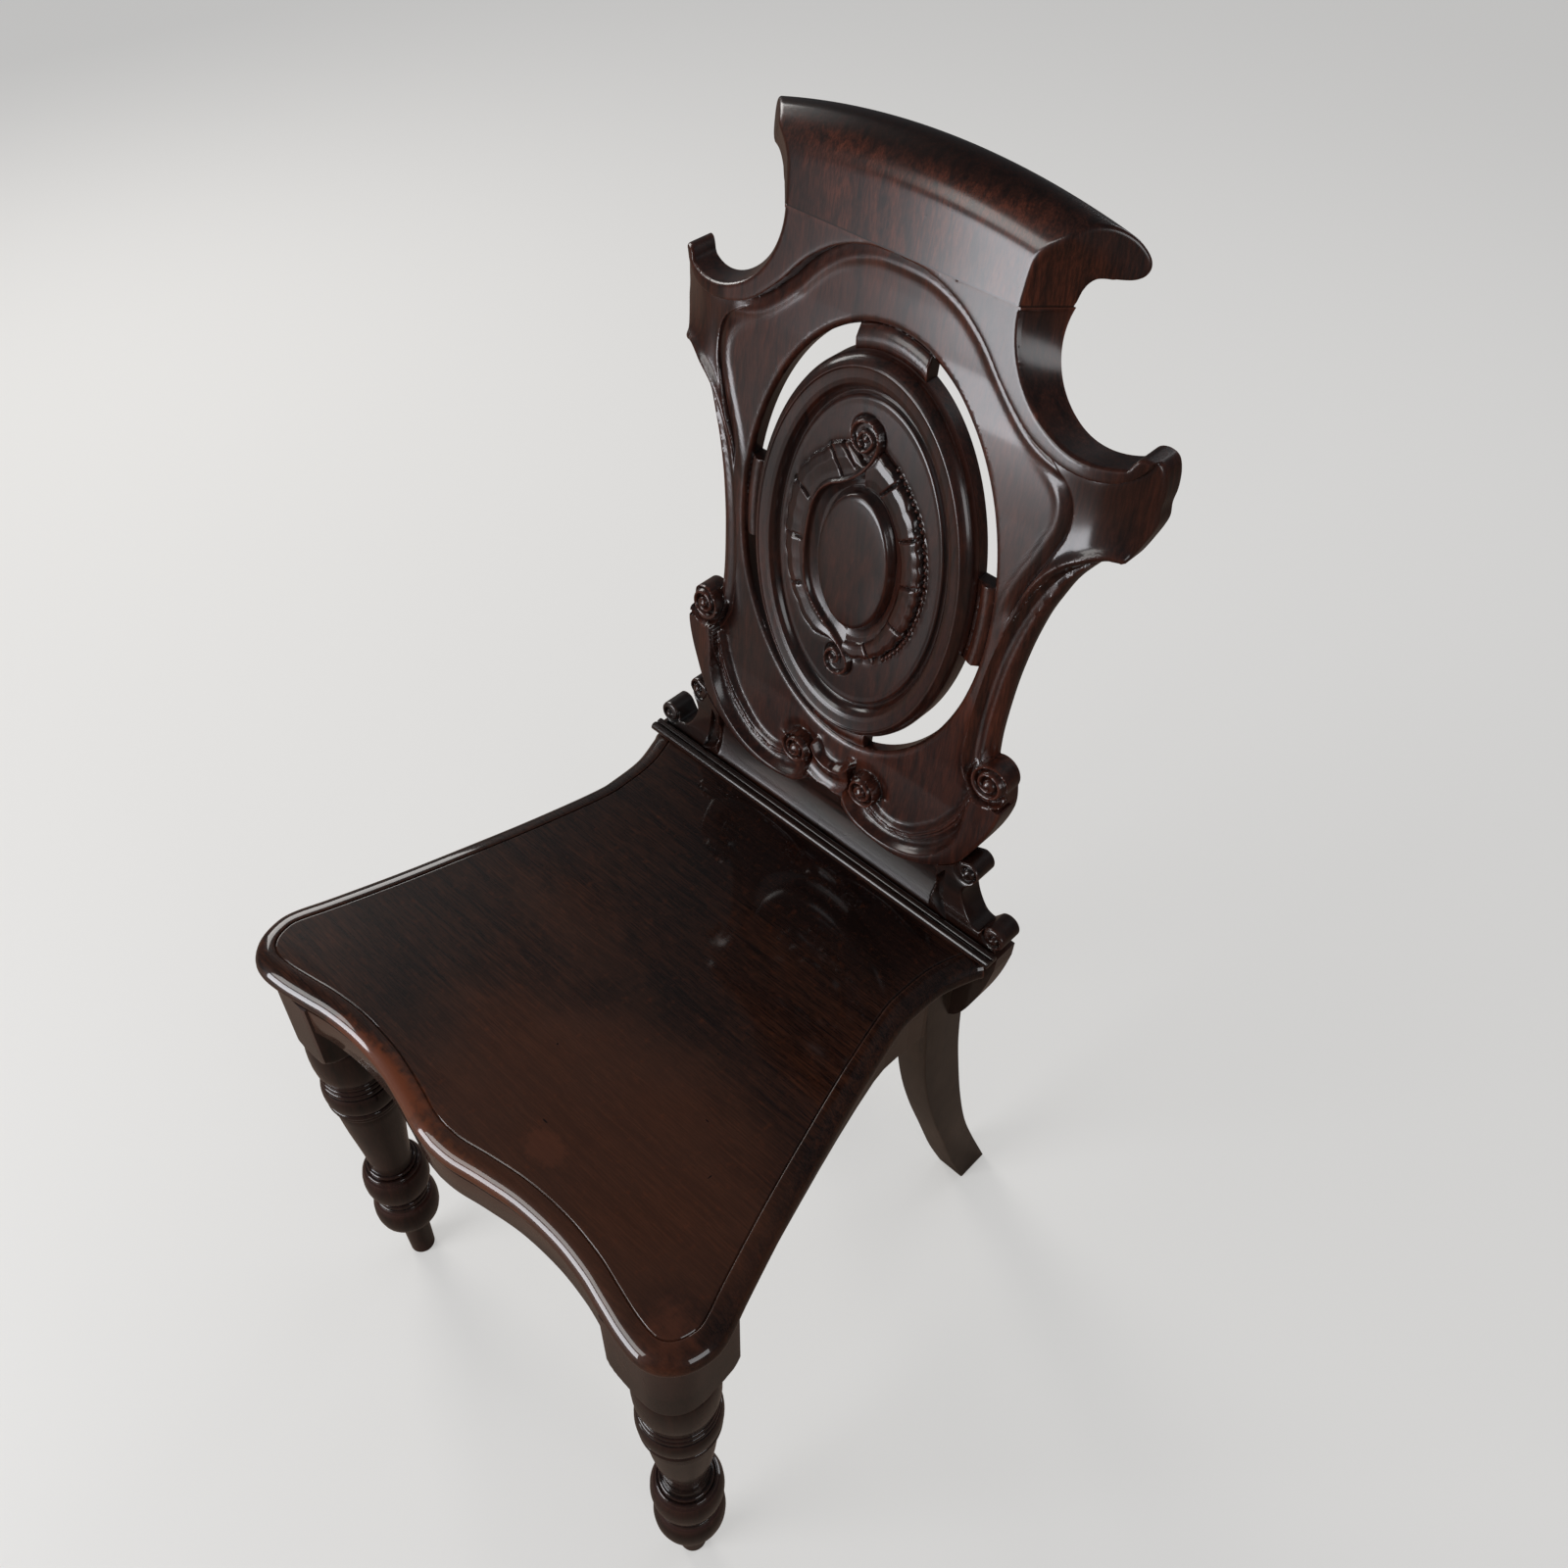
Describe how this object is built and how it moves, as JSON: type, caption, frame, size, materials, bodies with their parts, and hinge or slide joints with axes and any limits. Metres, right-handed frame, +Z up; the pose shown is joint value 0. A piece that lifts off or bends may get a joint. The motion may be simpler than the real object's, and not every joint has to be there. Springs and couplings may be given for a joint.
{
  "type": "hall chair",
  "caption": "All-wood hall chair with a carved and pierced shield back, scrolled crest, solid serpentine seat, turned front legs and sabre rear legs.",
  "frame": {"origin": "on the floor, under the middle of the chair's bounding box", "axes": "+Z up, -Y the way a sitter faces, +X to the right of a viewer who faces the chair's front"},
  "size_m": [0.4314, 0.457, 0.9239],
  "materials": {
    "seat": "French-polished mahogany, satin gloss",
    "rails": "polished mahogany",
    "rear_rail": "polished mahogany",
    "front_legs": "French-polished mahogany, high gloss",
    "rear_legs": "polished mahogany",
    "corner_blocks": "plain unpolished wood",
    "back": "French-polished mahogany, satin gloss",
    "plinth": "French-polished mahogany, satin gloss",
    "crest": "French-polished figured mahogany, satin gloss",
    "medallion": "French-polished carved mahogany",
    "moulding": "French-polished mahogany"
  },
  "bodies": {
    "root": {"seat_board": "seat", "front_seat_rail": "rails", "left_seat_rail": "rails", "right_seat_rail": "rails", "rear_seat_rail": "rear_rail", "front_left_leg": "front_legs", "front_right_leg": "front_legs", "rear_left_leg": "rear_legs", "rear_right_leg": "rear_legs", "front_left_corner_block": "corner_blocks", "front_right_corner_block": "corner_blocks", "rear_left_corner_block": "corner_blocks", "rear_right_corner_block": "corner_blocks", "back_panel": "back", "back_plinth": "plinth", "crest_rail": "crest", "medallion": "medallion", "seat_moulding": "moulding"}
  },
  "joints": []
}
